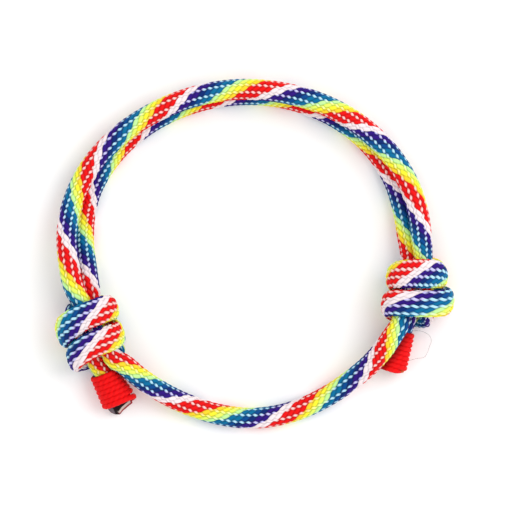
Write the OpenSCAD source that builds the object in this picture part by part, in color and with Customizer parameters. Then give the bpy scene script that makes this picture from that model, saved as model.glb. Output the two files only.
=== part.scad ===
// Adjustable bracelet made of one braided cord, lying flat on a table.
// Both ends of the cord are tied round the other strand in a barrel knot that slides,
// and each end is whipped with thread. Seen from above, +X is right, +Y is the far side
// of the loop and +Z is up. The table is z = 0.

/* [Cord] */
// Diameter of the braided cord
cord_d = 4.1; // [3.9:0.05:4.15]
// Flat sides of each cord tube
cord_sides = 12; // [8:2:12]

/* [Loop] */
// Width added to the loop, half towards each knot
loop_grow = 0; // [0:0.5:8]

/* [Knots] */
// Height of a knot above the table
knot_h = 11.8; // [11.8:0.1:12.2]
// Degrees between two rings of a knot's turns
turn_step = 30; // [20:5:30]

/* [Whippings] */
// Outside diameter of a whipping, over its thread
whip_d = 6.1; // [5.9:0.1:6.2]
// Length of a whipping along the cord
whip_l = 7.2; // [6.4:0.1:7.2]
// Turns of thread in a whipping
whip_turns = 7; // [5:1:9]
// Gap between the cord's end and the thread round it
whip_gap = 0.05; // [0.03:0.01:0.1]

/* [Hidden] */

cord_blue = [0.05, 0.35, 0.68];
cord_teal = [0.05, 0.55, 0.68];
cord_purple = [0.25, 0.1, 0.55];
cord_yellow = [0.95, 0.9, 0.1];
cord_lime = [0.75, 0.95, 0.3];
thread_red = [0.85, 0.05, 0.06];

// Middle of the wrist opening
opening_mid = [-0.5, 0];
// Distance to each side of the middle in which the loop grows
grow_reach = 20;

// Free strands. Columns: clock angle from the far side (deg), distance from the opening's middle,
// height of the cord's middle above the table
inner_rows = [
    [257, 33.2, 4.5], [264, 33.2, 3.5], [275, 33.9, 2.3], [290, 34.6, 2.05], [305, 34.2, 2.05],
    [320, 33.4, 2.05], [335, 32.6, 2.05], [350, 32.1, 2.05], [365, 31.9, 2.05], [380, 31.9, 2.05],
    [395, 32.1, 2.05], [410, 32.2, 2.05], [422, 32.0, 2.2], [434, 31.5, 2.8], [444, 31.3, 3.7]];
outer_rows = [
    [258, 36.0, 7.7], [268, 36.7, 6.8], [280, 37.3, 6.0], [295, 36.9, 5.7], [310, 35.7, 5.9],
    [325, 34.4, 6.05], [340, 33.5, 6.1], [355, 33.0, 6.1], [370, 32.8, 6.1], [385, 33.1, 6.1],
    [400, 33.6, 6.0], [415, 34.1, 5.9], [428, 34.3, 6.3], [439, 34.1, 7.1], [447, 34.0, 7.7]];
front_rows = [
    [119, 32.5, 8.5], [125, 32.4, 8.1], [132, 32.3, 6.8], [141, 32.1, 4.6], [152, 32.2, 2.6],
    [165, 32.6, 2.05], [180, 32.9, 2.05], [193, 32.8, 2.05], [204, 32.8, 2.6], [214, 33.0, 4.2],
    [223, 33.4, 5.8], [230, 33.9, 6.6]];

// Knots. Columns: middle across the table x and y, turn of the knot's own frame (deg).
// The frame's u runs across the knot, v along it towards the far side, w up from its middle.
left_place = [-32.9, -15.1, 18];
right_place = [32.6, -6.9, -3];

// Runs of cord inside a knot. Columns: u, v, w, width, thickness,
// way the flat side faces (deg, 0 is along u and 90 is down)
left_entry = [
    [2.3, 5.6, -1.2, 3.7, 3.4, 90], [2.0, 2.8, -1.3, 3.1, 2.9, 90], [1.8, -0.2, -1.4, 3.0, 2.8, 90],
    [2.0, -3.0, -1.6, 3.0, 2.7, 80], [3.3, -4.7, -2.0, 3.1, 2.6, 60], [4.2, -5.6, -3.2, 3.1, 2.5, 60]];
left_exit = [
    [-1.6, 4.7, -4.2, 3.4, 2.5, 100], [-2.5, 4.5, -2.9, 3.1, 2.6, 130], [-2.2, 3.1, -1.5, 3.0, 2.7, 130],
    [-1.9, 0.4, -0.6, 3.0, 2.8, 120], [-1.6, -2.6, -0.6, 3.1, 2.9, 110], [-1.0, -5.4, -0.9, 3.6, 3.3, 90]];
left_through = [
    [2.9, -7.2, 0.9, 4.1, 3.9, 90], [2.3, -4.8, 1.2, 3.6, 3.4, 90], [1.6, -2.2, 1.5, 3.1, 3.0, 90],
    [1.0, 0.6, 1.6, 3.0, 3.0, 90], [0.5, 3.4, 1.7, 3.2, 3.1, 90], [0, 6.4, 1.9, 4.0, 3.8, 90]];
right_entry = [
    [0.9, 5.4, 1.8, 3.7, 3.2, 90], [1.4, 2.6, 1.6, 3.1, 2.9, 80], [1.7, -0.4, 1.2, 3.0, 2.8, 70],
    [2.0, -3.0, 0.5, 3.0, 2.7, 60], [2.2, -5.2, -0.9, 3.1, 2.6, 60], [1.9, -6.2, -2.6, 3.2, 2.6, 70]];
right_exit = [
    [2.3, 4.9, -4.2, 3.2, 2.4, 85], [1.2, 5.6, -3.3, 3.0, 2.4, 90], [1.0, 4.2, -2.1, 3.0, 2.5, 90],
    [0.7, 1.4, -1.7, 3.0, 2.7, 90], [-0.2, -1.8, -1.5, 3.0, 2.8, 90], [-1.2, -4.8, -1.2, 3.1, 2.9, 90],
    [-2.0, -7.2, -1.1, 3.7, 3.3, 90]];
right_through = [
    [-1.8, 6.4, -1.4, 4.0, 3.8, 90], [-2.0, 3.2, 0, 3.2, 3.1, 90], [-2.1, 0, 1.1, 3.0, 3.0, 90],
    [-2.3, -3.0, 1.4, 3.1, 3.0, 90], [-2.8, -5.4, 1.8, 3.6, 3.1, 90], [-3.3, -7.6, 2.5, 4.1, 3.9, 90]];

// Turns of cord round a knot. Columns: turn angle (deg, 0 at the right, 90 underneath), v,
// half width of the knot there, cord width, cord thickness
left_turns = [
    [80, -6.0, 5.9, 3.4, 2.5], [135, -5.4, 6.0, 4.2, 2.5], [180, -4.8, 6.3, 5.0, 2.4],
    [225, -4.0, 6.3, 5.2, 2.5], [270, -3.0, 6.1, 5.3, 2.6], [340, -2.7, 6.3, 5.1, 2.4],
    [360, -2.4, 6.5, 4.6, 2.3], [375, -1.7, 6.5, 4.2, 2.4], [390, -0.9, 6.4, 4.0, 2.5],
    [420, -0.3, 6.3, 4.0, 2.5], [450, -0.2, 6.3, 4.1, 2.5], [495, 0.1, 6.6, 4.6, 2.5],
    [540, 0.7, 6.8, 5.6, 2.4], [585, 1.8, 6.7, 5.6, 2.5], [630, 2.8, 6.6, 5.5, 2.6],
    [680, 3.1, 6.8, 5.4, 2.6], [720, 2.8, 6.9, 5.0, 2.5], [750, 3.4, 6.6, 4.2, 2.5],
    [790, 4.6, 6.0, 3.6, 2.5]];
right_turns = [
    [95, -5.9, 5.9, 3.2, 2.4], [135, -5.1, 6.2, 4.0, 2.4], [180, -3.6, 7.2, 5.0, 2.4],
    [225, -3.1, 7.4, 5.3, 2.5], [270, -3.0, 7.3, 5.4, 2.6], [315, -2.7, 7.4, 5.4, 2.5],
    [360, -2.1, 7.5, 5.2, 2.5], [390, -1.3, 7.2, 4.3, 2.5], [420, -0.7, 6.8, 4.1, 2.5],
    [450, -0.2, 6.5, 4.1, 2.5], [495, 0.8, 6.5, 4.4, 2.5], [540, 2.0, 6.5, 4.8, 2.4],
    [585, 2.6, 6.5, 5.5, 2.5], [630, 3.0, 6.4, 5.9, 2.6], [665, 3.1, 6.25, 5.8, 2.6],
    [690, 2.8, 6.1, 5.1, 2.6], [720, 2.4, 6.0, 4.1, 2.5], [745, 3.2, 6.0, 3.9, 2.5], [760, 4.2, 6.0, 3.6, 2.5]];
// Roundness of the path round a knot: 2 is an ellipse, more is squarer
turn_power = 2.8;

// Free ends, from the knot out to the cut. Columns: x, y, z
left_end = [[-31.2, -22.1, 4.5], [-30.3, -23.6, 4.0], [-26.5, -31.1, 3.1]];
right_end = [[29.7, -14.9, 4.4], [29.2, -15.7, 3.5], [27.2, -24.1, 3.05]];
// Distance from a whipping's outer end to the cut end of the cord
cut_out = 1.0;

function unit(a) = a / norm(a);

// A point on the table's grid once the loop has grown
function spread(p) = p + [loop_grow / 2 * max(-1, min(1, p[0] / grow_reach)), 0, 0];

// A row of a route is [middle, width, thickness, way its flat side faces]
function round_row(p) = [spread(p), cord_d, cord_d, [0, 0, -1]];
function lying(rows) = [for (r = rows)
    round_row([opening_mid[0] + r[1] * sin(r[0]), opening_mid[1] + r[1] * cos(r[0]), r[2]])];
function free_end(points) = [for (p = points) round_row(p)];

// Way and place in a knot's own frame, turned into the table's
function turned(place, p) = [
    p[0] * cos(place[2]) - p[1] * sin(place[2]), p[0] * sin(place[2]) + p[1] * cos(place[2]), p[2]];
function placed(place, p) = spread([place[0], place[1], knot_h / 2]) + turned(place, p);
function inside(place, rows) = [for (r = rows)
    [placed(place, [r[0], r[1], r[2]]), r[3], r[4], turned(place, [cos(r[5]), 0, -sin(r[5])])]];

// Value of a column of a turn table at a turn angle
function at(rows, angle, column) = lookup(angle, [for (r = rows) [r[0], r[column]]]);
function powered(x, power) = sign(x) * pow(abs(x), power);
function turn_row(place, rows, angle) = let (
    thick = at(rows, angle, 4),
    reach_u = at(rows, angle, 2) - thick / 2,
    reach_w = (knot_h - thick) / 2,
    u = reach_u * powered(cos(angle), 2 / turn_power),
    w = -reach_w * powered(sin(angle), 2 / turn_power),
    facing = [powered(cos(angle), 2 - 2 / turn_power) / reach_u, 0,
              -powered(sin(angle), 2 - 2 / turn_power) / reach_w])
    [placed(place, [u, at(rows, angle, 1), w]), at(rows, angle, 3), thick, turned(place, unit(facing))];
function turns(place, rows) = let (
    first = rows[0][0], last = rows[len(rows) - 1][0], count = ceil((last - first) / turn_step))
    [for (i = [0:count]) turn_row(place, rows, first + (last - first) * i / count)];
function reversed(list) = [for (i = [len(list) - 1:-1:0]) list[i]];

// The whole cord, from the cut end at the left to the cut end at the right
left_knot_rows = concat(reversed(inside(left_place, left_exit)),
    reversed(turns(left_place, left_turns)), reversed(inside(left_place, left_entry)));
right_knot_rows = concat(inside(right_place, right_entry), turns(right_place, right_turns),
    inside(right_place, right_exit));
cord_parts = [
    reversed(free_end(left_end)), left_knot_rows, lying(inner_rows), inside(right_place, right_through),
    lying(front_rows), inside(left_place, left_through), lying(outer_rows), right_knot_rows,
    free_end(right_end)];
cord = [for (part = cord_parts) each part];
// Number of rows before each part of the cord
function rows_before(i) = i == 0 ? 0 : rows_before(i - 1) + len(cord_parts[i - 1]);

function cord_way(i) = unit(cord[min(i + 1, len(cord) - 1)][0] - cord[max(i - 1, 0)][0]);
function cord_ring(i) = let (
    way = cord_way(i), row = cord[i],
    face = unit(row[3] - way * (row[3] * way)), side = cross(way, face))
    [for (k = [0:cord_sides - 1]) let (a = 360 * k / cord_sides)
        row[0] + side * row[1] / 2 * cos(a) + face * row[2] / 2 * sin(a)];

// The stretch of cord between two rows
function corner(i, k) = i * cord_sides + k % cord_sides;
module stretch(first, last) {
    rings = last - first + 1;
    polyhedron(
        points = [for (i = [first:last]) each cord_ring(i)],
        faces = concat(
            [[for (k = [cord_sides - 1:-1:0]) corner(0, k)]],
            [for (i = [0:rings - 2], k = [0:cord_sides - 1]) each [
                [corner(i, k), corner(i + 1, k + 1), corner(i + 1, k)],
                [corner(i, k), corner(i, k + 1), corner(i + 1, k + 1)]]],
            [[for (k = [0:cord_sides - 1]) corner(rings - 1, k)]]),
        convexity = 10);
}

// Row in the middle of a knot where two strands meet end to end
right_meet = rows_before(3) + floor(len(right_through) / 2);
left_meet = rows_before(5) + floor(len(left_through) / 2);

module inner_strand() color(cord_teal) stretch(rows_before(2), right_meet);
module front_strand() color(cord_blue) stretch(right_meet, left_meet);
module outer_strand() color(cord_purple) stretch(left_meet, rows_before(7) - 1);
module left_knot() color(cord_yellow) stretch(rows_before(1) - 1, rows_before(2));
module right_knot() color(cord_yellow) stretch(rows_before(7) - 1, rows_before(8));
module left_tail() color(cord_lime) stretch(0, rows_before(1) - 1);
module right_tail() color(cord_lime) stretch(rows_before(8), len(cord) - 1);

// Sleeve of thread turns round a free end, seen in section and turned round the cord
module whipping(points) {
    tip = points[len(points) - 1];
    way = unit(tip - points[len(points) - 2]);
    bore_r = cord_d / 2 + whip_gap;
    thread_d = whip_l / whip_turns;
    rib_r = thread_d / 2;
    core_r = whip_d / 2 - rib_r;
    translate(spread(tip) - way * (cut_out + whip_l))
        rotate([0, acos(way[2]), atan2(way[1], way[0])])
            rotate_extrude($fn = 48)
                polygon(concat(
                    [[bore_r, 0], [core_r, 0]],
                    [for (i = [0:whip_turns - 1], a = [-60:30:60])
                        [core_r + rib_r * cos(a), (i + 0.5) * thread_d + rib_r * sin(a)]],
                    [[core_r, whip_l], [bore_r, whip_l]]));
}

module left_whipping() color(thread_red) whipping(left_end);
module right_whipping() color(thread_red) whipping(right_end);

inner_strand();
outer_strand();
front_strand();
left_knot();
right_knot();
left_tail();
right_tail();
left_whipping();
right_whipping();
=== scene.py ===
import math

import bpy
import numpy as np
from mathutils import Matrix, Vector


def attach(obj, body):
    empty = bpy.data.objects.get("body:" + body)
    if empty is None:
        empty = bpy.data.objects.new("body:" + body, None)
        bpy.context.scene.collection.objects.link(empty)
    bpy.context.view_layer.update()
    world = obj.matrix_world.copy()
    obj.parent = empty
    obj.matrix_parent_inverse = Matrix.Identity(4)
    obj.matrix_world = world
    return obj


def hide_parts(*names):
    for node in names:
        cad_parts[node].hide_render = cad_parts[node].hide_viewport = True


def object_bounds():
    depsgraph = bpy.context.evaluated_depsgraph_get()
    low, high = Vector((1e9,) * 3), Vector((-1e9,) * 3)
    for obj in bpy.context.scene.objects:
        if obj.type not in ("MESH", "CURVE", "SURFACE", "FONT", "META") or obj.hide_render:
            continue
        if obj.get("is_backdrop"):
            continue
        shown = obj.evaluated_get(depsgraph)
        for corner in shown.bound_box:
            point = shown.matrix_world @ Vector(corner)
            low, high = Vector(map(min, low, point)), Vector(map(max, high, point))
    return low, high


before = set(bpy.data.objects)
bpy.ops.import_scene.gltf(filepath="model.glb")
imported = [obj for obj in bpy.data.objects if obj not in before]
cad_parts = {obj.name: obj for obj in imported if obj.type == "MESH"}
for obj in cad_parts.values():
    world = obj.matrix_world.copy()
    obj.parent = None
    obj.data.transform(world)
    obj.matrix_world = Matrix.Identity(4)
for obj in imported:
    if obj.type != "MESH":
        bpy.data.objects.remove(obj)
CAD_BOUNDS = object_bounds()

# A string bracelet: one braided rainbow cord that two sliding knots tie into a loop, with its cut
# ends whipped in red thread. Lengths are in metres and angles in degrees, unless a comment says
# otherwise.

# Camera

CAMERA_HEIGHT = 1.5
SENSOR_WIDTH_MM = 36
SCALE_PLANE = 0.005  # height of the plane that the picture's size is given on
PICTURE_SIDE = 0.1024  # length on that plane that the picture's long side shows
PICTURE_MIDDLE = (0.0002, -0.0004)

camera = bpy.data.objects.new("Camera", bpy.data.cameras.new("Camera"))
camera.data.sensor_width = SENSOR_WIDTH_MM
camera.data.lens = SENSOR_WIDTH_MM * (CAMERA_HEIGHT - SCALE_PLANE) / PICTURE_SIDE
camera.data.clip_end = 20
camera.location = (*PICTURE_MIDDLE, CAMERA_HEIGHT)
bpy.context.scene.collection.objects.link(camera)
bpy.context.scene.camera = camera

# Route of the cord, in the same rows as the CAD part's

CORD_D = 0.0041
KNOT_HEIGHT = 0.0118
TURN_POWER = 2.8  # power of the rounded rectangle that a knot's turns follow
OPENING_MID = (-0.0005, 0.0)
# A knot's middle and the way that it is turned
LEFT_PLACE = (-0.0329, -0.0151, 18)
RIGHT_PLACE = (0.0326, -0.0069, -3)

# Clock angle from the far side, distance from the opening's middle, height
INNER_ROWS = [
    (257, 0.0332, 0.0045), (264, 0.0332, 0.0035), (275, 0.0339, 0.0023), (290, 0.0346, 0.00205),
    (305, 0.0342, 0.00205), (320, 0.0334, 0.00205), (335, 0.0326, 0.00205), (350, 0.0321, 0.00205),
    (365, 0.0319, 0.00205), (380, 0.0319, 0.00205), (395, 0.0321, 0.00205), (410, 0.0322, 0.00205),
    (422, 0.032, 0.0022), (434, 0.0315, 0.0028), (444, 0.0313, 0.0037),
]
OUTER_ROWS = [
    (258, 0.036, 0.0077), (268, 0.0367, 0.0068), (280, 0.0373, 0.006), (295, 0.0369, 0.0057),
    (310, 0.0357, 0.0059), (325, 0.0344, 0.00605), (340, 0.0335, 0.0061), (355, 0.033, 0.0061),
    (370, 0.0328, 0.0061), (385, 0.0331, 0.0061), (400, 0.0336, 0.006), (415, 0.0341, 0.0059),
    (428, 0.0343, 0.0063), (439, 0.0341, 0.0071), (447, 0.034, 0.0077),
]
FRONT_ROWS = [
    (119, 0.0325, 0.0085), (125, 0.0324, 0.0081), (132, 0.0323, 0.0068), (141, 0.0321, 0.0046),
    (152, 0.0322, 0.0026), (165, 0.0326, 0.00205), (180, 0.0329, 0.00205), (193, 0.0328, 0.00205),
    (204, 0.0328, 0.0026), (214, 0.033, 0.0042), (223, 0.0334, 0.0058), (230, 0.0339, 0.0066),
]
# Across, along and up in the knot's own frame, width, thickness, way the flat side faces
LEFT_ENTRY = [
    (0.0023, 0.0056, -0.0012, 0.0037, 0.0034, 90), (0.002, 0.0028, -0.0013, 0.0031, 0.0029, 90),
    (0.0018, -0.0002, -0.0014, 0.003, 0.0028, 90), (0.002, -0.003, -0.0016, 0.003, 0.0027, 80),
    (0.0033, -0.0047, -0.002, 0.0031, 0.0026, 60), (0.0042, -0.0056, -0.0032, 0.0031, 0.0025, 60),
]
LEFT_EXIT = [
    (-0.0016, 0.0047, -0.0042, 0.0034, 0.0025, 100), (-0.0025, 0.0045, -0.0029, 0.0031, 0.0026, 130),
    (-0.0022, 0.0031, -0.0015, 0.003, 0.0027, 130), (-0.0019, 0.0004, -0.0006, 0.003, 0.0028, 120),
    (-0.0016, -0.0026, -0.0006, 0.0031, 0.0029, 110), (-0.001, -0.0054, -0.0009, 0.0036, 0.0033, 90),
]
LEFT_THROUGH = [
    (0.0029, -0.0072, 0.0009, 0.0041, 0.0039, 90), (0.0023, -0.0048, 0.0012, 0.0036, 0.0034, 90),
    (0.0016, -0.0022, 0.0015, 0.0031, 0.003, 90), (0.001, 0.0006, 0.0016, 0.003, 0.003, 90),
    (0.0005, 0.0034, 0.0017, 0.0032, 0.0031, 90), (0, 0.0064, 0.0019, 0.004, 0.0038, 90),
]
RIGHT_ENTRY = [
    (0.0009, 0.0054, 0.0018, 0.0037, 0.0032, 90), (0.0014, 0.0026, 0.0016, 0.0031, 0.0029, 80),
    (0.0017, -0.0004, 0.0012, 0.003, 0.0028, 70), (0.002, -0.003, 0.0005, 0.003, 0.0027, 60),
    (0.0022, -0.0052, -0.0009, 0.0031, 0.0026, 60), (0.0019, -0.0062, -0.0026, 0.0032, 0.0026, 70),
]
RIGHT_EXIT = [
    (0.0023, 0.0049, -0.0042, 0.0032, 0.0024, 85), (0.0012, 0.0056, -0.0033, 0.003, 0.0024, 90),
    (0.001, 0.0042, -0.0021, 0.003, 0.0025, 90), (0.0007, 0.0014, -0.0017, 0.003, 0.0027, 90),
    (-0.0002, -0.0018, -0.0015, 0.003, 0.0028, 90), (-0.0012, -0.0048, -0.0012, 0.0031, 0.0029, 90),
    (-0.002, -0.0072, -0.0011, 0.0037, 0.0033, 90),
]
RIGHT_THROUGH = [
    (-0.0018, 0.0064, -0.0014, 0.004, 0.0038, 90), (-0.002, 0.0032, 0, 0.0032, 0.0031, 90),
    (-0.0021, 0, 0.0011, 0.003, 0.003, 90), (-0.0023, -0.003, 0.0014, 0.0031, 0.003, 90),
    (-0.0028, -0.0054, 0.0018, 0.0036, 0.0031, 90), (-0.0033, -0.0076, 0.0025, 0.0041, 0.0039, 90),
]
# Turn angle, along the knot, half width of the knot there, cord width, cord thickness
LEFT_TURNS = [
    (80, -0.006, 0.0059, 0.0034, 0.0025), (135, -0.0054, 0.006, 0.0042, 0.0025),
    (180, -0.0048, 0.0063, 0.005, 0.0024), (225, -0.004, 0.0063, 0.0052, 0.0025),
    (270, -0.003, 0.0061, 0.0053, 0.0026), (340, -0.0027, 0.0063, 0.0051, 0.0024),
    (360, -0.0024, 0.0065, 0.0046, 0.0023), (375, -0.0017, 0.0065, 0.0042, 0.0024),
    (390, -0.0009, 0.0064, 0.004, 0.0025), (420, -0.0003, 0.0063, 0.004, 0.0025),
    (450, -0.0002, 0.0063, 0.0041, 0.0025), (495, 0.0001, 0.0066, 0.0046, 0.0025),
    (540, 0.0007, 0.0068, 0.0056, 0.0024), (585, 0.0018, 0.0067, 0.0056, 0.0025),
    (630, 0.0028, 0.0066, 0.0055, 0.0026), (680, 0.0031, 0.0068, 0.0054, 0.0026),
    (720, 0.0028, 0.0069, 0.005, 0.0025), (750, 0.0034, 0.0066, 0.0042, 0.0025),
    (790, 0.0046, 0.006, 0.0036, 0.0025),
]
RIGHT_TURNS = [
    (95, -0.0059, 0.0059, 0.0032, 0.0024), (135, -0.0051, 0.0062, 0.004, 0.0024),
    (180, -0.0036, 0.0072, 0.005, 0.0024), (225, -0.0031, 0.0074, 0.0053, 0.0025),
    (270, -0.003, 0.0073, 0.0054, 0.0026), (315, -0.0027, 0.0074, 0.0054, 0.0025),
    (360, -0.0021, 0.0075, 0.0052, 0.0025), (390, -0.0013, 0.0072, 0.0043, 0.0025),
    (420, -0.0007, 0.0068, 0.0041, 0.0025), (450, -0.0002, 0.0065, 0.0041, 0.0025),
    (495, 0.0008, 0.0065, 0.0044, 0.0025), (540, 0.002, 0.0065, 0.0048, 0.0024),
    (585, 0.0026, 0.0065, 0.0055, 0.0025), (630, 0.003, 0.0064, 0.0059, 0.0026),
    (665, 0.0031, 0.00625, 0.0058, 0.0026), (690, 0.0028, 0.0061, 0.0051, 0.0026),
    (720, 0.0024, 0.006, 0.0041, 0.0025), (745, 0.0032, 0.006, 0.0039, 0.0025),
    (760, 0.0042, 0.006, 0.0036, 0.0025),
]
# The free ends, to their cut tips
LEFT_END = [(-0.0312, -0.0221, 0.0045), (-0.0303, -0.0236, 0.004), (-0.0265, -0.0311, 0.0031)]
RIGHT_END = [(0.0297, -0.0149, 0.0044), (0.0292, -0.0157, 0.0035), (0.0272, -0.0241, 0.00305)]

TURN_STEP = 15  # turn angle between two rows of a knot's turns
STEP = 0.0001  # length between two points of the route
PAD = 60  # steps that the route goes on, straight, past each cut end
WAY_STEPS = 5  # steps that give its way there
PATH_SMOOTHING = 0.0004
SECTION_SMOOTHING = 0.0006


def row(centre, width, thick, facing, angle=math.nan):
    """Columns: centre (3), width, thickness, way the flat side faces (3), clock or turn angle."""
    return [*centre, width, thick, *facing, angle]


def free(points):
    """Rows of round cord through points."""
    return [row(p, CORD_D, CORD_D, (0, 0, -1)) for p in points]


def lying(rows):
    """Rows of round cord round the opening."""
    found = []
    for clock, r, z in rows:
        x = OPENING_MID[0] + r * math.sin(math.radians(clock))
        y = OPENING_MID[1] + r * math.cos(math.radians(clock))
        found.append(row((x, y, z), CORD_D, CORD_D, (0, 0, -1), clock))
    return found


def turned(place, p):
    """A way in a knot's own frame, turned as the knot is."""
    c, s = math.cos(math.radians(place[2])), math.sin(math.radians(place[2]))
    return (p[0] * c - p[1] * s, p[0] * s + p[1] * c, p[2])


def placed(place, p):
    """A point in a knot's own frame, put where the knot is."""
    q = turned(place, p)
    return (place[0] + q[0], place[1] + q[1], KNOT_HEIGHT / 2 + q[2])


def inside(place, rows):
    """Rows of the cord inside a knot."""
    return [
        row(placed(place, r[:3]), r[3], r[4],
            turned(place, (math.cos(math.radians(r[5])), 0, -math.sin(math.radians(r[5])))))
        for r in rows
    ]


def powered(x, power):
    return math.copysign(abs(x) ** power, x)


def turns(place, rows):
    """Rows of the turns that a knot is wound from, each flat on the rounded rectangle."""
    table = np.array(rows)
    found = []
    count = math.ceil((rows[-1][0] - rows[0][0]) / TURN_STEP)
    for angle in np.linspace(rows[0][0], rows[-1][0], count + 1):
        along, half, width, thick = (np.interp(angle, table[:, 0], table[:, k]) for k in (1, 2, 3, 4))
        reach_u, reach_w = half - thick / 2, (KNOT_HEIGHT - thick) / 2
        c, s = math.cos(math.radians(angle)), math.sin(math.radians(angle))
        facing = np.array([powered(c, 2 - 2 / TURN_POWER) / reach_u, 0,
                           -powered(s, 2 - 2 / TURN_POWER) / reach_w])
        centre = (reach_u * powered(c, 2 / TURN_POWER), along, -reach_w * powered(s, 2 / TURN_POWER))
        found.append(row(placed(place, centre), width, thick,
                         turned(place, facing / np.linalg.norm(facing)), angle))
    return found


PARTS = {
    "left_end": free(LEFT_END)[::-1],
    "left_exit": inside(LEFT_PLACE, LEFT_EXIT)[::-1],
    "left_turns": turns(LEFT_PLACE, LEFT_TURNS)[::-1],
    "left_entry": inside(LEFT_PLACE, LEFT_ENTRY)[::-1],
    "inner": lying(INNER_ROWS),
    "right_through": inside(RIGHT_PLACE, RIGHT_THROUGH),
    "front": lying(FRONT_ROWS),
    "left_through": inside(LEFT_PLACE, LEFT_THROUGH),
    "outer": lying(OUTER_ROWS),
    "right_entry": inside(RIGHT_PLACE, RIGHT_ENTRY),
    "right_turns": turns(RIGHT_PLACE, RIGHT_TURNS),
    "right_exit": inside(RIGHT_PLACE, RIGHT_EXIT),
    "right_end": free(RIGHT_END),
}


def through_rows(t, values, at):
    """A cubic through the rows, with a slope at each row that its two neighbours give."""
    h = np.diff(t)
    d = np.diff(values, axis=0) / h[:, None]
    inner = (h[1:, None] * d[:-1] + h[:-1, None] * d[1:]) / (h[1:] + h[:-1])[:, None]
    m = np.vstack([d[:1], inner, d[-1:]])
    k = np.clip(np.searchsorted(t, at, side="right") - 1, 0, len(h) - 1)
    u, w = ((at - t[k]) / h[k])[:, None], h[k][:, None]
    return ((1 + 2 * u) * (1 - u) ** 2 * values[k] + u * (1 - u) ** 2 * w * m[k]
            + u * u * (3 - 2 * u) * values[k + 1] + u * u * (u - 1) * w * m[k + 1])


def smoothed(values, sigma):
    """Values along the route, each the mean of its surroundings; the ends go on straight."""
    reach = int(4 * sigma / STEP)
    weights = np.exp(-0.5 * (np.arange(-reach, reach + 1) * STEP / sigma) ** 2)
    weights /= weights.sum()
    v = np.asarray(values, float)
    v = v if v.ndim > 1 else v[:, None]
    run = np.arange(1, reach + 1)[:, None]
    v = np.vstack([v[0] - run[::-1] * (v[1] - v[0]), v, v[-1] + run * (v[-1] - v[-2])])
    found = np.stack([np.convolve(v[:, c], weights, "valid") for c in range(v.shape[1])], 1)
    return found if np.ndim(values) > 1 else found[:, 0]


def unit(v):
    return v / np.linalg.norm(v, axis=-1, keepdims=True)


rows = np.array([r for part in PARTS.values() for r in part])
chord = np.concatenate([[0], np.cumsum(np.linalg.norm(np.diff(rows[:, :3], axis=0), axis=1))])
steps = np.arange(0, chord[-1], STEP)
points = through_rows(chord, rows[:, :3], steps)
length = np.concatenate([[0], np.cumsum(np.linalg.norm(np.diff(points, axis=0), axis=1))])
row_s = np.interp(chord, steps, length)  # length along the cord at each row

S = np.arange(0, length[-1], STEP)
centre = np.stack([np.interp(S, length, points[:, k]) for k in range(3)], 1)
beyond = np.arange(1, PAD + 1)[:, None] * STEP
centre = np.vstack([centre[0] + unit(centre[0] - centre[WAY_STEPS]) * beyond[::-1], centre,
                    centre[-1] + unit(centre[-1] - centre[-1 - WAY_STEPS]) * beyond])
S = np.arange(-PAD, len(S) + PAD) * STEP  # length along the cord at each point of the route
CENTRE = smoothed(centre, PATH_SMOOTHING)
half = smoothed(np.stack([np.interp(S, row_s, rows[:, k]) for k in (3, 4)], 1) / 2, SECTION_SMOOTHING)
facing = smoothed(np.stack([np.interp(S, row_s, rows[:, k]) for k in (5, 6, 7)], 1), SECTION_SMOOTHING)
way = unit(np.gradient(CENTRE, axis=0))
face = unit(facing - way * (facing * way).sum(1, keepdims=True))
# Columns: centre (3), half width, half thickness, way the flat side faces (3), way across the cord (3)
ROUTE = np.hstack([CENTRE, half, face, np.cross(way, face)])
# Number of the row that each part starts with
STARTS = dict(zip(PARTS, np.cumsum([0] + [len(part) for part in PARTS.values()])))


def s_at(part, angle):
    """Length along the cord at a clock or turn angle of one part of the route."""
    first = STARTS[part]
    last = first + len(PARTS[part])
    angles, lengths = rows[first:last, 8], row_s[first:last]
    order = np.argsort(angles)
    return float(np.interp(angle, angles[order], lengths[order]))


# Braid

# Sixteen coloured yarns lean one way round the cord and sixteen white ones the other, each over
# two and under two. Around the cord runs a, and along it b, both counted in yarns; p = b - a
# counts the coloured yarns and q = b + a the white ones. P and Q are p and q in mesh steps.

YARNS = 16
FINE = 4  # mesh steps across a yarn
AROUND = 2 * YARNS * FINE  # what q - p grows by once round the cord, in mesh steps
LEAD = 0.0205  # length of cord in which a yarn goes once round it
COLUMN = -0.43  # turns the columns of stitches so that one lies on top
# The place a that lies on top, on free cord and on a knot's turns
TOP = {"free": 0.75 * YARNS + COLUMN, "knot": 0.25 * YARNS + COLUMN}
COLOUR_LIFT = 0.00024  # height of a coloured float above the bottom of the creases
WHITE_LIFT = 0.00020
STRAND_LIFT = 0.00007  # way that the coloured floats stand out of the CAD cord between the knots
CREASE = 0.3  # height left between two floats side by side, of a float's own
# Ways that the edges of floats are moved, in yarns
WIDEN_COLOUR = 0.22
WIDEN_COLOUR_KNOT = 0.10
WIDEN_COLOUR_ENDS = 0.08
WIDEN_PEARLS = 0.07
PEARL_POWER = 2.4  # above 1, it makes a white float narrower than its yarn
PEARL = (0.00029, 0.0004)  # half width of the white that shows of a float, around and along the cord
PEARL_KNOT = 1.36  # how much more shows where the cord is bent round a knot
PEARL_EDGE = 1.3  # where the white has faded out, of that half width
PEARL_FADE = 0.5  # width of the fading
CREASE_DARK = 0.45  # light lost at the bottom of a crease
CREASE_DARK_PALE = 0.6  # how much of that is lost between the pale yarns of the white stripe
CREASE_DARK_PEARL = 0.2  # and on a pearl
CREASE_POWER = 1.5
STRIPE_SMOOTHING = 0.002
PART_SMOOTHING = 0.0015

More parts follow.
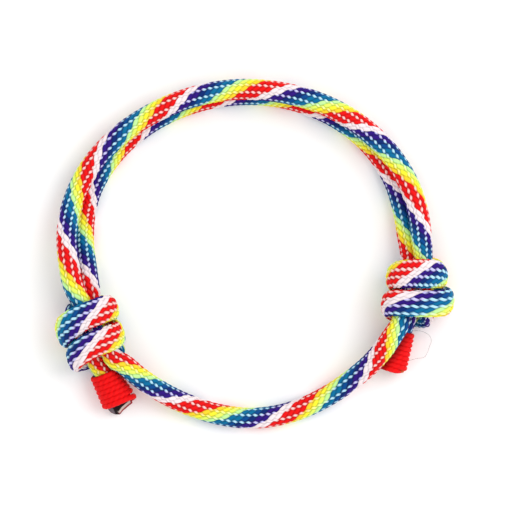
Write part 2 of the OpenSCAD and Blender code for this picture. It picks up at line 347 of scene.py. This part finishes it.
# Where the yarn count p passes the top of the cord in the photo: clock or turn angle, p
MARKS = {
    "left_turns": [(643.7, 1), (560, 7.9), (267, 1), (180, 5.4)],
    "inner": [(263.5, 1), (291.7, 1), (322.4, 1), (355.4, 1), (389.5, 1), (425, 1)],
    "front": [(120, 9.7), (132, 1), (157, 10.7), (171.4, 1), (208.4, 1)],
    "outer": [(258, 9.7), (263, 12), (273.6, 1), (302.1, 1), (318, 8.3), (335.1, 1), (368.5, 1),
              (389.8, 11), (401, 1), (417.8, 9), (438, 1)],
    "right_turns": [(180, 13.7), (210, 1), (360, 9.7), (625.5, 1)],
}
# The count b, less any whole rounds, at rows that lie in between: part, row, b
ROW_MARKS = [
    ("left_exit", -2, 11.3 + TOP["free"]), ("left_entry", 0, 14.8), ("right_entry", 4, -0.2),
    ("right_end", 0, 3.6),
]
CARRY_ON = 0.1  # length that the yarns are carried on past the first and the last mark

marks = [(float(row_s[STARTS[part] + k]), b) for part, k, b in ROW_MARKS]
for part, places in MARKS.items():
    top = TOP["knot" if part.endswith("turns") else "free"]
    marks += [(s_at(part, angle), p + top) for angle, p in places]
marks.sort()
mark_s = [marks[0][0]]
mark_b = [marks[0][1]]
for s, b in marks[1:]:
    guess = mark_b[-1] + YARNS * (s - mark_s[-1]) / LEAD
    mark_s.append(s)
    mark_b.append(b + YARNS * round((guess - b) / YARNS))
mark_s = [mark_s[0] - CARRY_ON, *mark_s, mark_s[-1] + CARRY_ON]
mark_b = [mark_b[0] - CARRY_ON * YARNS / LEAD, *mark_b, mark_b[-1] + CARRY_ON * YARNS / LEAD]
B = smoothed(np.interp(S, mark_s, mark_b), STRIPE_SMOOTHING)


def share_in(parts):
    """1 on these parts of the route and 0 on the others, with soft edges."""
    found = np.zeros(len(S))
    for part in parts:
        first, last = row_s[STARTS[part]], row_s[STARTS[part] + len(PARTS[part]) - 1]
        found[(S > first) & (S < last)] = 1
    return smoothed(found, PART_SMOOTHING)


IN_TURNS = share_in(["left_turns", "right_turns"])
IN_STRANDS = share_in(["inner", "front", "outer"])


def b_at(s):
    return float(np.interp(s, S, B))


def srgb(r, g, b):
    """Linear colour of an 8-bit sRGB one."""
    return np.array([((c / 255 + 0.055) / 1.055) ** 2.4 if c > 10 else c / 255 / 12.92
                     for c in (r, g, b)])


BAND = srgb(248, 233, 236)
PURPLE = srgb(46, 15, 124)
NAVY = srgb(5, 40, 112)
BLUE = srgb(0, 72, 140)
TEAL = srgb(0, 108, 156)
LIME = srgb(197, 247, 158)
PALE_LIME = srgb(232, 252, 104)
YELLOW = srgb(255, 244, 56)
AMBER = srgb(255, 214, 46)
RED = srgb(236, 12, 14)
COLOURS = np.array([BAND, BAND, PURPLE, PURPLE, NAVY, BLUE, TEAL, TEAL,
                    LIME, PALE_LIME, YELLOW, AMBER, RED, RED, RED, RED])
CORE = 0.5 * srgb(252, 249, 251)  # inside of the cord, where a length of it is closed
# Colours of the white yarn where it lies among each coloured one, with a painted reflection of that yarn's
# colour
PALE_PURPLE = srgb(206, 203, 250)
PALE_BLUE = srgb(186, 233, 252)
PALE_GREEN = srgb(222, 250, 198)
PALE_YELLOW = srgb(248, 250, 158)
PALE_ORANGE = srgb(252, 224, 142)
PALE_RED = srgb(252, 212, 208)
PEARLS_WITH_REFLECTION = np.array([BAND, BAND, PALE_PURPLE, PALE_PURPLE, PALE_BLUE, PALE_BLUE, PALE_BLUE, PALE_BLUE,
                   PALE_GREEN, PALE_YELLOW, PALE_YELLOW, PALE_ORANGE,
                   PALE_RED, PALE_RED, PALE_RED, PALE_RED])


def across(x):
    """Profile across a float, a half circle."""
    return np.sqrt(np.clip(1 - (2 * x - 1) ** 2, 0, 1))


def along(t):
    """Profile along a float, flatter in its middle."""
    return np.sqrt(np.clip(1 - (2 * t - 1) ** 4, 0, 1))


def pearl(y):
    """Profile across a white float, narrower than its yarn."""
    return across(y) ** PEARL_POWER


def lift(P, Q):
    """Height of the braid at a mesh point, above the bottom of its creases. Of four places k along
    a yarn, the coloured floats take the first two and the white ones the others."""
    x, y = (P % FINE) / FINE, (Q % FINE) / FINE
    k = (P // FINE - Q // FINE) % 4
    colour = COLOUR_LIFT * across(x) * along(((1 - k) + y) / 2)
    white = WHITE_LIFT * pearl(y) * along(((k - 2) + x) / 2)
    h = np.where(k < 2, colour, white)
    on_p = (x == 0) & (y > 0)
    on_q = (y == 0) & (x > 0)
    h = np.where(on_p, 0, h)
    h = np.where(on_p & (k == 3), WHITE_LIFT * pearl(y), h)
    h = np.where(on_p & (k == 1), CREASE * COLOUR_LIFT * along(y), h)
    h = np.where(on_q, 0, h)
    h = np.where(on_q & (k == 0), COLOUR_LIFT * across(x), h)
    h = np.where(on_q & (k == 2), CREASE * WHITE_LIFT * along(x), h)
    return np.where((x == 0) & (y == 0), 0, h)


def widened(P, Q):
    """p and q of a mesh point, moved so that the coloured floats are wider than the white ones."""
    p, q = P / FINE, Q / FINE
    widen = WIDEN_COLOUR + (WIDEN_COLOUR_KNOT - WIDEN_COLOUR) * np.interp((p + q) / 2, B, IN_TURNS)

    def shift_p(i):
        return -widen * np.cos(math.pi / 2 * (i - q + 0.5))

    def shift_q(j):
        return -WIDEN_COLOUR_ENDS * np.sin(math.pi / 2 * (p - 0.5 - j))

    i, j = np.floor(p), np.floor(q)
    x, y = p - i, q - j
    return (p + (1 - x) * shift_p(i) + x * shift_p(i + 1),
            q + (1 - y) * shift_q(j) + y * shift_q(j + 1) - WIDEN_PEARLS * np.sin(2 * math.pi * y))


def on_cord(a, b, height):
    """Points on the cord's surface, height above the bottom of its creases."""
    s = np.interp(b, B, S)
    r = np.stack([np.interp(s, S, ROUTE[:, k]) for k in range(ROUTE.shape[1])], 1)
    centre, half_w, half_t, face, side = r[:, :3], r[:, 3], r[:, 4], r[:, 5:8], r[:, 8:]
    flat = (half_w ** 2 - half_t ** 2) / (half_w ** 2 + half_t ** 2)
    theta = 2 * math.pi * (a - COLUMN) / YARNS
    phi = theta + flat / 4 * np.sin(2 * theta)
    base = height - COLOUR_LIFT + STRAND_LIFT * np.interp(s, S, IN_STRANDS)
    found = (centre + side * ((half_w + base) * np.cos(phi))[:, None]
             + unit(face) * ((half_t + base) * np.sin(phi))[:, None])
    found[:, 2] = np.maximum(found[:, 2], 0)  # the cord is a little flat where it lies on the table
    return found


# Sizes on the map to bake on, in millimetres
SMALL_CAP = 1.5  # radius of a loft's cap
SMALL_CAP_CELL = 4  # side of the square that it lies in
MAP_MARGIN = 0.2


def cap_map(middle, radius, turn):
    """Map of the faces of a cap: two corners of each on the rim, at turn, and one in the middle."""
    turn = np.column_stack([turn, np.zeros(len(turn))])
    reach = np.array([radius, radius, 0])
    return np.stack([middle[0] + reach * np.cos(turn), middle[1] + reach * np.sin(turn)], 2)


class Surface:
    """Points and faces gathered for one piece, with a map along the fibres, a map to bake on and a
    colour for every corner. Lengths on the bake map are in millimetres until the piece is made."""

    def __init__(self):
        self.points, self.faces, self.corners, self.count = [], [], [], 0

    def add(self, points, faces, fibres, bake, colour, first=None):
        """Faces count their points from the first of these new points, or from another one."""
        self.points.append(points)
        self.faces.append(faces + (self.count if first is None else first))
        values = [np.asarray(v, float) for v in (fibres, bake, colour)]
        corners = [np.broadcast_to(v, faces.shape + (v.shape[-1],)).reshape(faces.size, -1) for v in values]
        self.corners.append(np.hstack(corners))
        self.count += len(points)

    def add_loft(self, rings, fibres, corner, size, colour, cap_corner):
        """A tube through rings of points, closed by a cap at each end, with a colour for each point.
        fibres is how often the fibre pattern repeats round it and along it. On the bake map it
        fills a box of that size from that corner, and the caps lie at cap_corner."""
        n, m = rings.shape[:2]
        k = np.arange(m)
        first = self.count
        faces = np.stack([
            (np.arange(n - 1)[:, None] * m + k).ravel(), (np.arange(1, n)[:, None] * m + k).ravel(),
            (np.arange(1, n)[:, None] * m + (k + 1) % m).ravel(),
            (np.arange(n - 1)[:, None] * m + (k + 1) % m).ravel()], 1)
        u = np.stack([k, k, k + 1, k + 1], 1) / m
        v = np.arange(n - 1)[:, None, None] + np.array([0, 1, 1, 0])[None, None, :]
        u = np.broadcast_to(u[None], (n - 1, m, 4)).reshape(-1, 4)
        v = np.broadcast_to(v / (n - 1), (n - 1, m, 4)).reshape(-1, 4)
        bake = np.stack([corner[0] + size[0] * u, corner[1] + size[1] * v], 2)
        fibre = np.stack([u * fibres[0], v * fibres[1]], 2)
        self.add(rings.reshape(-1, 3), faces, fibre, bake, colour.reshape(-1, 3)[faces])
        for end, start in ((0, 0), (1, (n - 1) * m)):
            here, beside = ((k + 1) % m, k) if end else (k, (k + 1) % m)
            turn = 2 * math.pi * np.stack([here, np.where(beside == 0, m, beside)], 1) / m
            middle = (cap_corner[0] + SMALL_CAP_CELL / 2, cap_corner[1] + SMALL_CAP_CELL * (end + 0.5))
            faces = np.stack([start + here, start + beside, np.full(m, self.count - first)], 1)
            self.add(rings[-end].mean(0)[None], faces, np.zeros(2), cap_map(middle, SMALL_CAP, turn),
                     colour[-end].mean(0), first)

    def make(self, name, material):
        corners = np.vstack(self.corners)
        corners[:, 2:4] -= corners[:, 2:4].min(0) - MAP_MARGIN
        corners[:, 2:4] /= corners[:, 2:4].max() + MAP_MARGIN
        mesh = bpy.data.meshes.new(name)
        mesh.vertices.add(self.count)
        mesh.vertices.foreach_set("co", np.vstack(self.points).astype(np.float32).ravel())
        loops = np.concatenate([f.ravel() for f in self.faces]).astype(np.int32)
        sizes = np.concatenate([np.full(len(f), f.shape[1]) for f in self.faces])
        mesh.loops.add(len(loops))
        mesh.loops.foreach_set("vertex_index", loops)
        mesh.polygons.add(len(sizes))
        starts = np.concatenate([[0], np.cumsum(sizes)[:-1]])
        mesh.polygons.foreach_set("loop_start", starts.astype(np.int32))
        mesh.polygons.foreach_set("use_smooth", np.ones(len(sizes), bool))
        for uv_name, uv in (("Yarn", corners[:, :2]), ("OFBake", corners[:, 2:4])):
            mesh.uv_layers.new(name=uv_name).data.foreach_set("uv", uv.astype(np.float32).ravel())
        layer = mesh.color_attributes.new(name="Yarn_colour_and_painted_light", type="FLOAT_COLOR", domain="CORNER")
        rgba = np.hstack([corners[:, 4:7], np.ones((len(corners), 1))])
        layer.data.foreach_set("color", rgba.astype(np.float32).ravel())
        mesh.update(calc_edges=True)
        mesh.validate()
        mesh.materials.append(material)
        found = bpy.data.objects.new(name, mesh)
        bpy.context.scene.collection.objects.link(found)
        return found


def cell_corners(b0, b1):
    """P and Q at the four corners of every face of the braid between two places along it."""
    sums = np.arange(math.ceil(2 * b0 - 1), math.ceil(2 * b1 - 1))
    total, n = np.meshgrid(sums, np.arange(2 * YARNS), indexing="ij")
    keep = (total - n) % 2 == 0
    i, j = ((total - n) // 2)[keep], ((total + n) // 2)[keep]
    u, v = (g.ravel() for g in np.meshgrid(np.arange(FINE), np.arange(FINE), indexing="ij"))
    P = (FINE * i[:, None] + u[None, :]).ravel()
    Q = (FINE * j[:, None] + v[None, :]).ravel()
    return np.stack([P, P + 1, P + 1, P], 1), np.stack([Q, Q, Q + 1, Q + 1], 1)


A_MM = math.pi * 1000 * CORD_D / YARNS  # width of a yarn around the cord
B_MM = 1000 * LEAD / YARNS  # and along it
STRIP = YARNS + 2  # width of a strip on the bake map and the space beside it, in yarns
WHITE_ROWS = 40  # puts the white yarns on rows of the fibre map of their own


def yarn_maps(p, q, i, j, b0, b1):
    """The fibre map, and the bake map, on which the cord lies unrolled in strips side by side."""
    coloured = ((i - j) % 4 < 2)[:, None]
    fibres = np.stack([np.where(coloured, q, p), np.where(coloured, p, q + WHITE_ROWS)], 2)
    strips = max(1, round(math.sqrt((b1 - b0) * B_MM / (STRIP * A_MM))))
    run = (b1 - b0) / strips
    strip = np.clip((((i + j + 1) / 2 - b0) / run).astype(int), 0, strips - 1)[:, None]
    bake = np.stack([((q - p) / 2 + STRIP * strip) * A_MM, ((p + q) / 2 - b0 - run * strip) * B_MM], 2)
    return fibres, bake


def yarn_colours(P, Q, i, j, height):
    """A colour for every corner. A white float shows as a pearl with a painted reflection of the coloured
    yarn below it, which shows round the pearl, and the creases are darker with painted shade."""
    k = (i - j) % 4
    over = COLOURS[i % YARNS]
    pearl_p, pearl_q = (i + np.where(k == 2, 1, 0))[:, None], (j + 0.5)[:, None]
    p, q = widened(P, Q)
    from_p, from_q = p - pearl_p, q - pearl_q
    across_mm, along_mm = (from_q - from_p) / 2 * A_MM, (from_p + from_q) / 2 * B_MM
    more = 1 + (PEARL_KNOT - 1) * np.interp((P + Q) / FINE, 2 * B, IN_TURNS)
    out = np.hypot(across_mm / (1000 * PEARL[0] * more), along_mm / (1000 * PEARL[1] * more))
    bright = np.clip((PEARL_EDGE - out) / PEARL_FADE, 0, 1) * (k > 1)[:, None]
    # Pearls take a painted reflection of the coloured yarn below them
    colour = over[:, None, :] + (PEARLS_WITH_REFLECTION[i % YARNS] - over)[:, None, :] * bright[:, :, None]
    # Painted shade: darker towards the bottom of each crease, less between pale yarns and on pearls
    depth = 1 - np.clip(height / WHITE_LIFT, 0, 1)
    pale = (over.min(1) > 0.5)[:, None]
    dark = (CREASE_DARK * depth ** CREASE_POWER * np.where(pale, CREASE_DARK_PALE, 1)
            * (1 - (1 - CREASE_DARK_PEARL) * bright))
    return colour * (1 - dark)[:, :, None]


CAP_INSET = 0.0008  # length between an end of a piece and the middle of its cap, inside it
CAP = 2  # radius of a cap on the bake map, in millimetres
CAP_MIDDLES = ((9, -6), (3, -6))  # middles there of the caps at the start and at the end


def braid(surface, s0, s1):
    """The braided cord between two lengths, closed at both ends."""
    b0, b1 = b_at(s0), b_at(s1)
    corners_p, corners_q = cell_corners(b0, b1)
    i, j = corners_p[:, 0] // FINE, corners_q[:, 0] // FINE
    key = (corners_p + corners_q) * AROUND + (corners_q - corners_p) % AROUND
    _, first, index = np.unique(key.ravel(), return_index=True, return_inverse=True)
    faces = index.reshape(-1, 4)
    P, Q = corners_p.ravel()[first], corners_q.ravel()[first]
    p, q = widened(P, Q)
    height = lift(P, Q)
    fibres, bake = yarn_maps(corners_p / FINE, corners_q / FINE, i, j, b0, b1)
    colour = yarn_colours(corners_p, corners_q, i, j, height[faces])
    start = surface.count
    surface.add(on_cord((q - p) / 2, (p + q) / 2, height), faces, fibres, bake, colour)

    # An edge without a face on its other side belongs to a rim, which a cap closes
    edges = np.stack([faces, np.roll(faces, -1, axis=1)], 2).reshape(-1, 2)
    size = len(P)
    single = ~np.isin(edges[:, 0] * size + edges[:, 1], edges[:, 1] * size + edges[:, 0])
    rim = edges[single][:, ::-1]
    at_end = (P + Q)[rim[:, 0]] / (2 * FINE) > (b0 + b1) / 2
    for end, s in ((0, s0 + CAP_INSET), (1, s1 - CAP_INSET)):
        middle = np.array([np.interp(s, S, CENTRE[:, k]) for k in range(3)])
        here = rim[at_end == end]
        turn = ((Q - P) % AROUND)[here] / AROUND * 2 * math.pi
        faces = np.column_stack([here, np.full(len(here), surface.count - start)])
        surface.add(middle[None], faces, np.zeros(2), cap_map(CAP_MIDDLES[end], CAP, turn), CORE, start)


# Materials


def new_material(name):
    material = bpy.data.materials.new(name)
    material.use_nodes = True
    nodes, links = material.node_tree.nodes, material.node_tree.links
    return material, nodes, links, nodes["Principled BSDF"]


def yarn_material(name, fibre_scale, bump_depth, dark):
    """Dyed yarn: fibres run along the Yarn map, and the colour comes with each stitch: the dye, with
    painted shade in creases and grooves and a painted reflection on the braid's pearls. dark is the light
    that is left between the fibres."""
    material, nodes, links, shader = new_material(name)
    uv = nodes.new("ShaderNodeUVMap")
    uv.uv_map = "Yarn"
    stretch = nodes.new("ShaderNodeMapping")
    stretch.inputs["Scale"].default_value = (*fibre_scale, 1)
    links.new(uv.outputs["UV"], stretch.inputs["Vector"])
    fibres = nodes.new("ShaderNodeTexNoise")
    fibres.inputs["Scale"].default_value = 1
    fibres.inputs["Detail"].default_value = 3
    links.new(stretch.outputs["Vector"], fibres.inputs["Vector"])
    yarn = nodes.new("ShaderNodeAttribute")
    yarn.attribute_name = "Yarn_colour_and_painted_light"
    shade = nodes.new("ShaderNodeMapRange")
    shade.inputs["From Min"].default_value = 0.3
    shade.inputs["From Max"].default_value = 0.7
    shade.inputs["To Min"].default_value = dark
    shade.inputs["To Max"].default_value = 1.0
    links.new(fibres.outputs["Fac"], shade.inputs["Value"])
    tint = nodes.new("ShaderNodeVectorMath")
    tint.operation = "SCALE"
    links.new(yarn.outputs["Color"], tint.inputs[0])
    links.new(shade.outputs["Result"], tint.inputs["Scale"])
    links.new(tint.outputs["Vector"], shader.inputs["Base Color"])
    rough = nodes.new("ShaderNodeMapRange")
    rough.inputs["To Min"].default_value = 0.55
    rough.inputs["To Max"].default_value = 0.8
    links.new(fibres.outputs["Fac"], rough.inputs["Value"])
    links.new(rough.outputs["Result"], shader.inputs["Roughness"])
    bump = nodes.new("ShaderNodeBump")
    bump.inputs["Strength"].default_value = 0.35
    bump.inputs["Distance"].default_value = bump_depth
    links.new(fibres.outputs["Fac"], bump.inputs["Height"])
    links.new(bump.outputs["Normal"], shader.inputs["Normal"])
    shader.inputs["Specular IOR Level"].default_value = 0.12
    return material


BRAID = yarn_material("Polyester_braid", (2.5, 14), 0.00006, 0.82)
THREAD = yarn_material("Whipping_thread", (1, 6), 0.00005, 0.7)

# Whippings and cut ends

THREAD_RED = srgb(250, 14, 18)
# The thread's red in painted shade, at the bottom of the grooves between plies
THREAD_RED_SHADED = srgb(150, 0, 6)
THREAD_SIDES = 18
THREAD_FILL = 0.53  # radius of the thread, of the pitch of its turns
THREAD_RINGS = 72  # rings in a turn
THREAD_CLEAR = 0.00003  # height that the thread stays above the table
PLIES = 2
PLY_LENGTH = 0.0011  # length of thread between two grooves
PLY_DEPTH = 0.05  # half depth of the grooves, of the thread's radius
PLY_LIGHT = 0.78  # light left in them
PLY_POWER = 0.6  # below 1, it makes the dark of the grooves narrower
TUCK_RISE = 6  # the thread comes up over a sixth of a turn at its start
TUCK_DEPTH = 0.9  # way that it lies sunk in at its ends, of its radius
TUCK_THIN = 0.6  # and thickness that it loses there
TURN_DARK = 0.55  # light lost in the creases between two turns
TURN_DARK_LEFT = 0.3  # and more of it on the left
STRAND_DARK = 0.6  # light lost beside a strand that lies on the turns
STRAND_REACH = 0.0018  # way that its shade reaches


def end_frame(points):
    """Tip of a free end, its way out, and the ways across and up there."""
    tip, before = np.array(points[-1]), np.array(points[-2])
    way = unit(tip - before)
    right = unit(np.cross(way, [0, 0, 1.0]))
    right = right if right[0] > 0 else -right
    up = np.cross(right, way) * (1 if np.cross(right, way)[2] > 0 else -1)
    return tip, way, right, up


def eased(x):
    x = np.clip(x, 0, 1)
    return x * x * (3 - 2 * x)


def tube(centre, out, radius):
    """Rings round a path; radius is per ring and side, and side 0 lies across the path and out."""
    forward = unit(np.gradient(centre, axis=0))
    sideways = unit(np.cross(forward, out))
    angle = 2 * math.pi * np.arange(radius.shape[1]) / radius.shape[1]
    return (centre[:, None, :] + radius[:, :, None]
            * (np.cos(angle)[None, :, None] * sideways[:, None, :]
               + np.sin(angle)[None, :, None] * np.cross(sideways, forward)[:, None, :]))


def against(rings, path, reach):
    """1 at points right beside a strand, in plan, falling to 0 at a reach from its side."""
    apart = np.min([np.hypot(rings[:, :, 0] - x, rings[:, :, 1] - y) for x, y, _ in path], axis=0)
    return eased(1 - (apart - CORD_D / 2) / reach)


def whipping(surface, points, radii, span, count, lean, trail, tuck, strand=None):
    """Turns of twisted thread round a free end: outer radii at their start and end, span between
    two distances before the tip, number of turns, way that their middle has moved to the right and
    up by the end, way that the last half turn trails out, share of a turn in which the thread's end
    sinks in, and the path of a strand that lies on the turns and keeps light from them."""
    tip, way, right, up = end_frame(points)
    pitch = (span[0] - span[1]) / count
    thread_r = pitch * THREAD_FILL
    t = np.linspace(0, 2 * math.pi * count, round(count * THREAD_RINGS))
    share = t / t[-1]
    left = (1 - share) * count
    sunk = 1 - np.minimum(1, np.minimum(share * count * TUCK_RISE, left / tuck))
    reach = radii[0] + (radii[1] - radii[0]) * share - thread_r * (1 + TUCK_DEPTH * sunk)
    out = np.sin(t)[:, None] * -right - np.cos(t)[:, None] * up
    along_way = -span[0] + thread_r + (span[0] - span[1] - 2 * thread_r) * share
    along_way = along_way + trail * eased(1 - 2 * left)
    centre = tip + way * along_way[:, None] + out * reach[:, None]
    centre = centre + (right * lean[0] + up * lean[1]) * share[:, None]
    run = np.concatenate([[0], np.cumsum(np.linalg.norm(np.diff(centre, axis=0), axis=1))])
    angle = 2 * math.pi * np.arange(THREAD_SIDES) / THREAD_SIDES
    lobe = np.cos(PLIES * (angle[None, :] - 2 * math.pi * run[:, None] / (PLY_LENGTH * PLIES)))
    radius = thread_r * (1 - PLY_DEPTH + PLY_DEPTH * lobe) * (1 - TUCK_THIN * sunk)[:, None]
    rings = tube(centre, out, radius)
    rings[:, :, 2] = np.maximum(rings[:, :, 2], THREAD_CLEAR)
    # Painted shade in the grooves between the plies
    shade = PLY_LIGHT + (1 - PLY_LIGHT) * np.clip((lobe + 1) / 2, 0, 1)[:, :, None] ** PLY_POWER
    # The side that lies out is bright, and the flanks and the inside are darker with painted shade, more of
    # it on the left
    inner = np.clip(0.6 - np.sin(angle), 0, 1)[None, :, None]
    crease = (TURN_DARK + TURN_DARK_LEFT * eased(np.sin(t) + 0.2))[:, None, None]
    colour = (THREAD_RED_SHADED + (THREAD_RED - THREAD_RED_SHADED) * shade) * (1 - crease * inner)
    # Painted shadow of the strand that lies on the turns
    if strand is not None:
        colour = colour * (1 - STRAND_DARK * against(rings, strand, STRAND_REACH))[:, :, None]
    surface.add_loft(rings, fibres=(40, run[-1] * 300), corner=(0, 0), size=(4, 40), colour=colour,
                     cap_corner=(5, 0))


TURN = 2 * math.pi * np.arange(48) / 48  # angles of the sides of a cut end's rings


def cut_rings(points, sections):
    """Rings in a free end's own frame. Sections hold distance past the tip (a number, or one for
    each side), half width, half height and height, in millimetres."""
    tip, way, right, up = end_frame(points)
    rings = []
    for out, width, height, rise in sections:
        out = np.broadcast_to(out, TURN.shape)
        rings.append(tip + (way * out[:, None] + right * (width * np.cos(TURN))[:, None]
                            + up * (rise + height * np.sin(TURN))[:, None]) / 1000)
    return np.array(rings)


def add_end(surface, rings, colour):
    """A cut end, with its place on the bake map beside the braid's."""
    surface.add_loft(rings[:, ::-1], fibres=(30, 4), corner=(0, -17), size=(12, 6),
                     colour=colour[:, ::-1], cap_corner=(13, -17))


# Lower lip of the left end's open sheath, from left to right: across, past the tip, in millimetres
LIP = [(-2.5, -0.85), (-2.16, -0.06), (-1.8, 0.42), (-0.885, 0.96), (-0.07, 0.55), (1.29, 0.2),
       (2.49, -0.09)]
LIP_HALF_WIDTH = 2.45
LIP_TOP = -1.5  # distance of the upper lip past the tip


def open_end(surface, points):
    """The cord's sheath where it was cut off askew and left open, with nothing in it."""
    across_lip = LIP_HALF_WIDTH * np.cos(TURN)
    bottom = np.interp(across_lip, [x for x, _ in LIP], [y for _, y in LIP])
    lip = bottom + (LIP_TOP - bottom) * eased((np.sin(TURN) + 0.3) / 0.6)
    rings = cut_rings(points, [
        (-2.7, 2, 2, 0), (-1.9, 2.2, 1.75, -0.1), (np.minimum(lip - 0.35, -0.6), 2.42, 1.5, -0.3),
        (lip - 0.08, 2.5, 1.45, -0.4), (lip, 2.42, 1.38, -0.4), (lip - 0.06, 2.3, 1.28, -0.4),
        (lip - 0.25, 2.2, 1.2, -0.4), (lip - 0.33, 2.18, 1.18, -0.4), (lip - 0.7, 2.15, 1.15, -0.4),
        (lip - 0.8, 2.13, 1.13, -0.4), (np.minimum(lip - 1.05, -1.8), 1.9, 0.95, -0.3),
        (-2.6, 1.6, 0.8, -0.1)])
    rust, pale = srgb(150, 32, 44), srgb(222, 198, 190)
    hollow_shadow, grey = srgb(26, 15, 20), srgb(120, 108, 116)
    colour = np.empty(rings.shape)
    # Outside and lip, then the inside: black, painted shadow in the empty sheath, with a pale edge on the
    # right and a grey one far left
    colour[:4] = rust
    colour[4:] = hollow_shadow
    right = eased((across_lip + 1.3) / 0.5)[:, None]
    colour[4:7] = hollow_shadow + (rust - hollow_shadow) * right
    colour[7:9] = hollow_shadow + (pale - hollow_shadow) * right
    left = eased((-1.7 - across_lip) / 0.3)[:, None]
    colour[5:10] += (grey - colour[5:10]) * left
    add_end(surface, rings, colour)


def singed_end(surface, points):
    """The cord's end where it was melted shut, with a bead on its right."""
    bead = eased((np.cos(TURN) - 0.2) / 0.8)
    rings = cut_rings(points, [
        (-3, 1.9, 1.9, 0), (-2, 2, 2, 0), (-1.1 - 0.2 * bead, 2.1 + 0.5 * bead, 2.1, 0),
        (-0.8 - 0.16 * bead, 2.04 + 0.4 * bead, 1.95, 0),
        (-0.62 - 0.12 * bead, 1.8 + 0.2 * bead, 1.6, 0), (-0.56 - 0.1 * bead, 0.9, 0.8, 0)])
    dark, orange = srgb(136, 18, 18), srgb(210, 96, 36)
    burnt = eased((np.cos(TURN) + 0.1) / 0.7) * (0.7 + 0.3 * np.sin(5 * TURN))
    add_end(surface, rings, np.broadcast_to(dark + (orange - dark) * burnt[None, :, None], rings.shape))


# A stray filament that hangs out of the right whipping: x, y, z
FILAMENT = [
    (0.0316, -0.0154, 0.0046), (0.0327, -0.01535, 0.0043), (0.0338, -0.0156, 0.0035),
    (0.035, -0.0163, 0.0025), (0.03544, -0.0174, 0.0017), (0.03506, -0.0186, 0.0011),
    (0.0347, -0.0197, 0.0009), (0.034, -0.0207, 0.001), (0.0325, -0.02095, 0.0018),
    (0.0308, -0.0214, 0.0027),
]
FILAMENT_R = 0.00003
FILAMENT_RINGS = 90
FILAMENT_SIDES = 6


def filament(surface):
    last = len(FILAMENT) - 1
    path = through_rows(np.arange(last + 1.0), np.array(FILAMENT), np.linspace(0, last, FILAMENT_RINGS))
    up = np.broadcast_to([0, 0, 1.0], path.shape)
    rings = tube(path, up, np.full((len(path), FILAMENT_SIDES), FILAMENT_R))
    surface.add_loft(rings, fibres=(1, 60), corner=(10, 0), size=(1, 20),
                     colour=np.broadcast_to(srgb(150, 154, 154), rings.shape), cap_corner=(5, 9))


# Pieces

LEFT_TAIL_FROM = 0.003  # length at the left tip that open_end makes, and not the braid
RIGHT_TAIL_TO = 0.0016  # and at the right one that singed_end makes
SHADE_STEPS = 10  # and of one that shades a whipping


def seat(piece, node):
    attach(piece, "root")
    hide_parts(node)
    return piece


def start_s(part, offset=0):
    return float(row_s[STARTS[part] + offset])


right_meet = start_s("right_through", len(RIGHT_THROUGH) // 2)
left_meet = start_s("left_through", len(LEFT_THROUGH) // 2)
outer_end = start_s("right_entry", -1)
PIECES = {
    "inner_strand": (start_s("inner"), right_meet),
    "front_strand": (right_meet, left_meet),
    "outer_strand": (left_meet, outer_end),
    "left_knot": (start_s("left_exit", -1), start_s("inner")),
    "right_knot": (outer_end, start_s("right_end")),
    "left_tail": (LEFT_TAIL_FROM, start_s("left_exit", -1)),
    "right_tail": (start_s("right_end"), float(row_s[-1]) - RIGHT_TAIL_TO),
}
for node, (s0, s1) in PIECES.items():
    surface = Surface()
    braid(surface, s0, s1)
    if node == "left_tail":
        open_end(surface, LEFT_END)
    if node == "right_tail":
        singed_end(surface, RIGHT_END)
    seat(surface.make("Braid_" + node, BRAID), node)

front_path = CENTRE[(S >= right_meet) & (S <= left_meet)][::SHADE_STEPS]
WHIPPINGS = {
    "left_whipping": dict(points=LEFT_END, radii=(0.00295, 0.00365), span=(0.0088, 0.0009), count=7,
                          lean=(0.0002, 0.0004), trail=0.0008, tuck=0.12),
    "right_whipping": dict(points=RIGHT_END, radii=(0.00295, 0.00305), span=(0.0097, 0.0004), count=8.68,
                           lean=(0, 0), trail=0, tuck=0.14, strand=front_path),
}
for node, values in WHIPPINGS.items():
    surface = Surface()
    whipping(surface, **values)
    if node == "right_whipping":
        filament(surface)
    seat(surface.make("Thread_" + node, THREAD), node)

for node in ("inner_strand", "front_strand", "outer_strand"):
    s0, s1 = PIECES[node]

# Floor and light

FLOOR_REACH = 2
KEY_PLACE = (0.56, 0.26, 0.87)  # it faces the bracelet's middle from there

corners = [(x * FLOOR_REACH, y * FLOOR_REACH, 0) for x, y in ((-1, -1), (1, -1), (1, 1), (-1, 1))]
floor_mesh = bpy.data.meshes.new("Floor")
floor_mesh.from_pydata(corners, [], [(0, 1, 2, 3)])
floor = bpy.data.objects.new("Floor", floor_mesh)
bpy.context.scene.collection.objects.link(floor)
material, nodes, links, shader = new_material("Floor_white")
shader.inputs["Base Color"].default_value = (0.95, 0.95, 0.95, 1)
shader.inputs["Roughness"].default_value = 0.9
shader.inputs["Specular IOR Level"].default_value = 0.1
floor_mesh.materials.append(material)
floor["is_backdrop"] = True

world = bpy.data.worlds.new("Studio")
bpy.context.scene.world = world
world.use_nodes = True
world.node_tree.nodes["Background"].inputs["Color"].default_value = (1, 1, 1, 1)
world.node_tree.nodes["Background"].inputs["Strength"].default_value = 1.04

key = bpy.data.objects.new("Key", bpy.data.lights.new("Key", "AREA"))
key.data.size = 0.7
key.data.energy = 4
key.location = KEY_PLACE
x, y, z = KEY_PLACE
key.rotation_euler = (math.atan2(math.hypot(x, y), z), 0, math.atan2(y, x) + math.pi / 2)
bpy.context.scene.collection.objects.link(key)
key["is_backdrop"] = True
bpy.context.scene.view_settings.view_transform = "Standard"


def plain(value):
    """The same value with lists and plain numbers in it."""
    if isinstance(value, dict):
        return {k: plain(v) for k, v in value.items()}
    if isinstance(value, (int, float, str)) or value is None:
        return value
    return [plain(v) for v in value]


{"cad": plain(CAD_BOUNDS), "looks": plain(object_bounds())}
